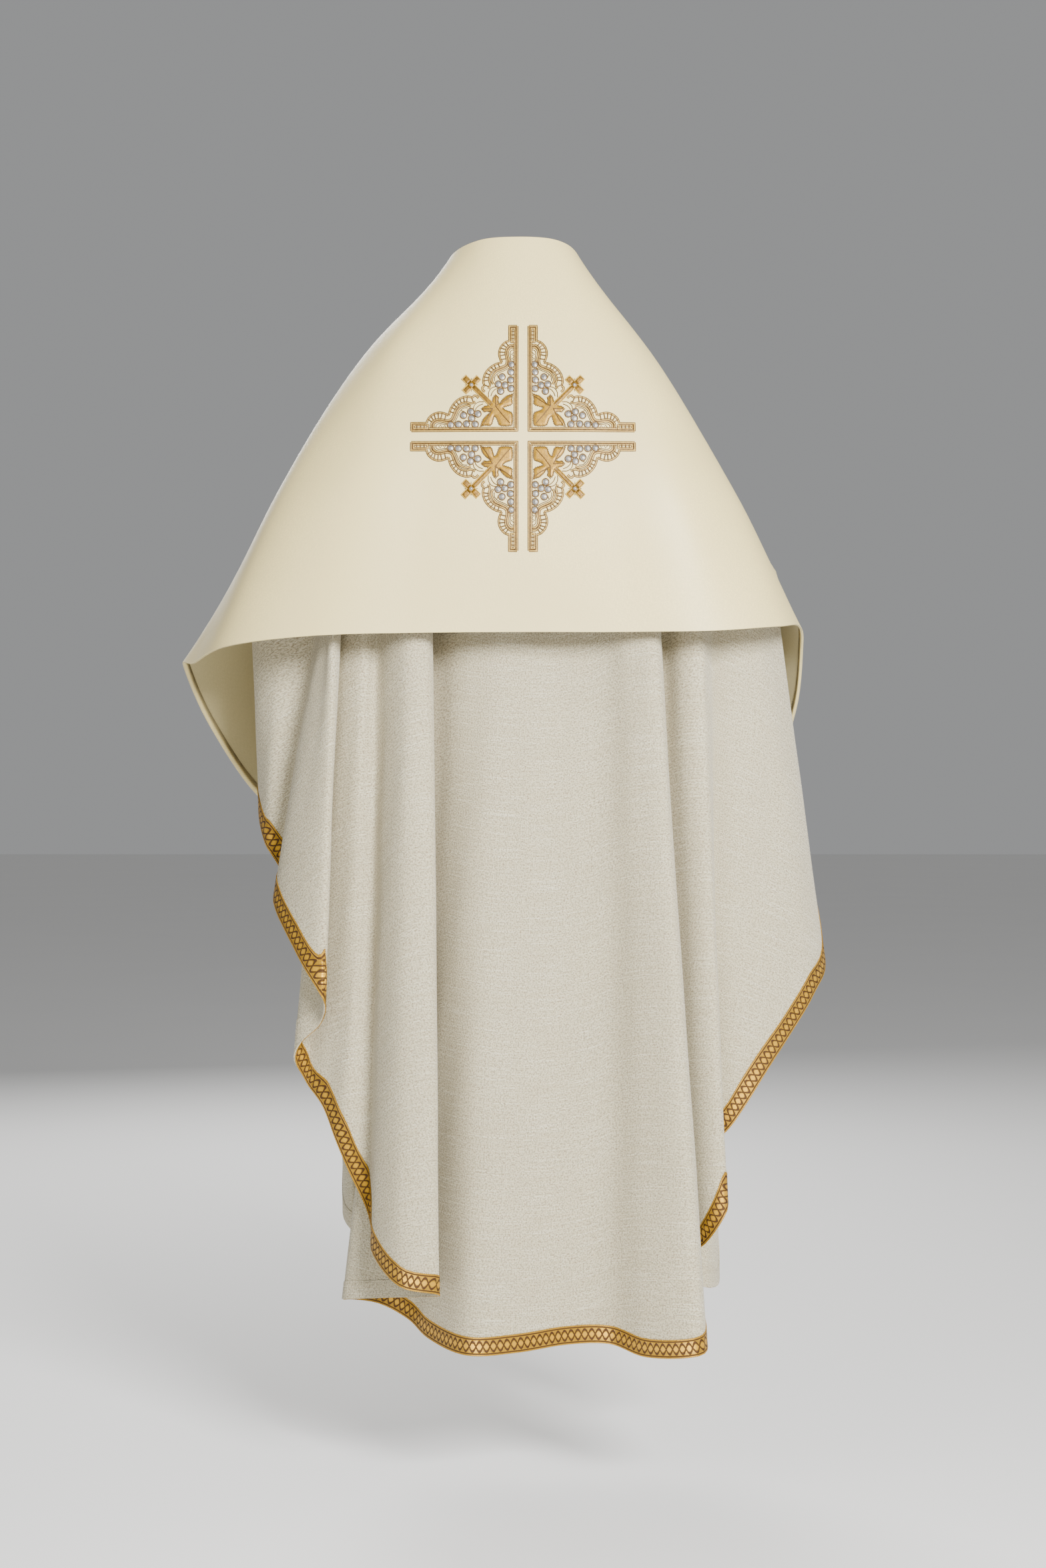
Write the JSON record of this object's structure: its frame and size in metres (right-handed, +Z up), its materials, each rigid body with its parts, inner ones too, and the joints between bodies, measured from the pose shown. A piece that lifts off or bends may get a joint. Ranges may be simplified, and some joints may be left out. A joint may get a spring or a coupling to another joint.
{
  "type": "chasuble",
  "caption": "Wide draped liturgical chasuble with braid-edged hems, hung as worn with raised forearms under a matching embroidered shoulder veil fastened in front by a hinged clasp.",
  "frame": {"origin": "middle of the neck opening, at the height of the shoulders' bearing line, where a wearer or a stand carries the garment", "axes": "+Z up along the body the garment hangs on, +Y the way the wearer faces, +X the wearer's right"},
  "size_m": [0.8714, 0.5723, 1.4516],
  "materials": {
    "wool_cloth": "fine slubbed plain weave, matt, flecked with darker yarn ends",
    "cream_satin": "smooth satin weave with a soft broad sheen",
    "veil_lining": "plain lining cloth, low sheen",
    "gold_galloon": "woven metallic braid with dark interlaced figure",
    "gold_thread": "couched metallic thread",
    "leaf_thread": "bright gilt thread satin stitch",
    "silver_thread": "silver-grey metallic thread ringed in gold",
    "gilt_clasp": "polished gilt"
  },
  "bodies": {
    "chasuble": {"back_panel": "wool_cloth", "back_galloon": "gold_galloon", "front_panel": "wool_cloth", "front_galloon": "gold_galloon", "neck_binding": "gold_galloon"},
    "veil": {"veil_satin": "cream_satin", "veil_lining": "veil_lining", "clasp_plate_left": "gilt_clasp", "clasp_pin": "gilt_clasp", "clasp_plate_right": "gilt_clasp", "cross_border_upper_left": "gold_thread", "vine_leaf_upper_left": "leaf_thread", "crosslet_upper_left": "gold_thread", "grapes_tall_upper_left": "silver_thread", "grapes_wide_upper_left": "silver_thread", "cross_border_upper_right": "gold_thread", "vine_leaf_upper_right": "leaf_thread", "crosslet_upper_right": "gold_thread", "grapes_tall_upper_right": "silver_thread", "grapes_wide_upper_right": "silver_thread", "cross_border_lower_left": "gold_thread", "vine_leaf_lower_left": "leaf_thread", "crosslet_lower_left": "gold_thread", "grapes_tall_lower_left": "silver_thread", "grapes_wide_lower_left": "silver_thread", "cross_border_lower_right": "gold_thread", "vine_leaf_lower_right": "leaf_thread", "crosslet_lower_right": "gold_thread", "grapes_tall_lower_right": "silver_thread", "grapes_wide_lower_right": "silver_thread"},
    "clasp_bar": {"clasp_bar": "gilt_clasp"}
  },
  "joints": [
    {"name": "veil_lift", "type": "slide", "parent": "chasuble", "child": "veil", "axis": [0, 0, 1], "range_m": [0, 0.8]},
    {"name": "clasp_swing", "type": "hinge", "parent": "veil", "child": "clasp_bar", "pos_m": [-0.034, 0.15037, -0.1254], "axis": [0, 0, 1], "range_deg": [0, 110]}
  ]
}
